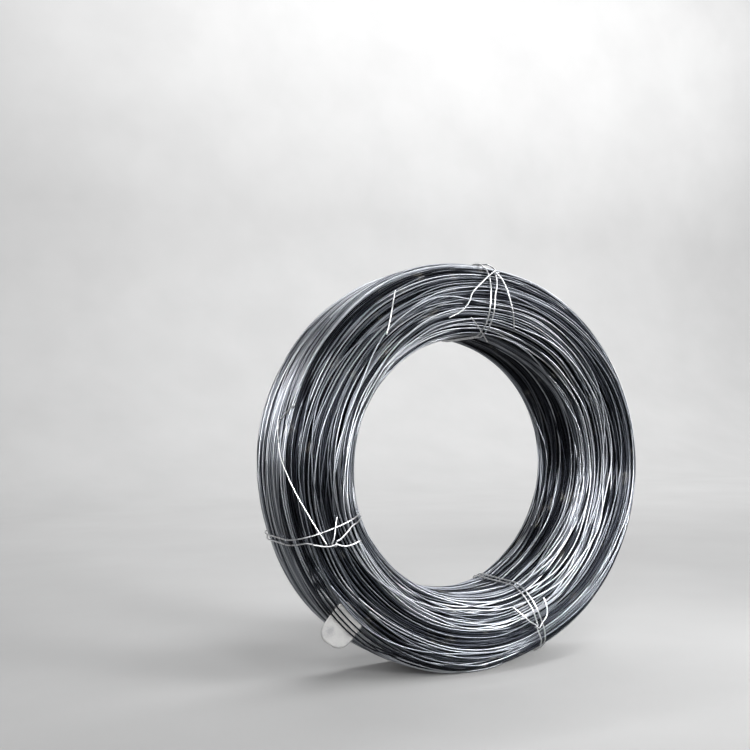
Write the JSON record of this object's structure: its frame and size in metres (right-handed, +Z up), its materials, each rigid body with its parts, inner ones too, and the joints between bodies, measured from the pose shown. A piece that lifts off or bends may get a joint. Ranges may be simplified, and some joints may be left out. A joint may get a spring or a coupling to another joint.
{
  "type": "coil of cold drawn steel wire",
  "caption": "Coil of cold drawn steel wire with an open bore, bound by wire ties and marked with a blank card tag.",
  "frame": {"origin": "centre of the bounding box at floor level, under the coil", "axes": "+Z up, the coil's axis along Y with its front end towards -Y, +X to the right seen from the front"},
  "size_m": [0.5599, 0.1675, 0.5615],
  "materials": {
    "steel_wire": "dark drawn steel with a dull sheen",
    "tie_wire": "bright drawn steel",
    "card": "matt, pale grey, smudged"
  },
  "bodies": {
    "root": {"wire_coil": "steel_wire", "binding_tie_top": "tie_wire", "binding_tie_left": "tie_wire", "binding_tie_right": "tie_wire", "tag": "card"}
  },
  "joints": []
}
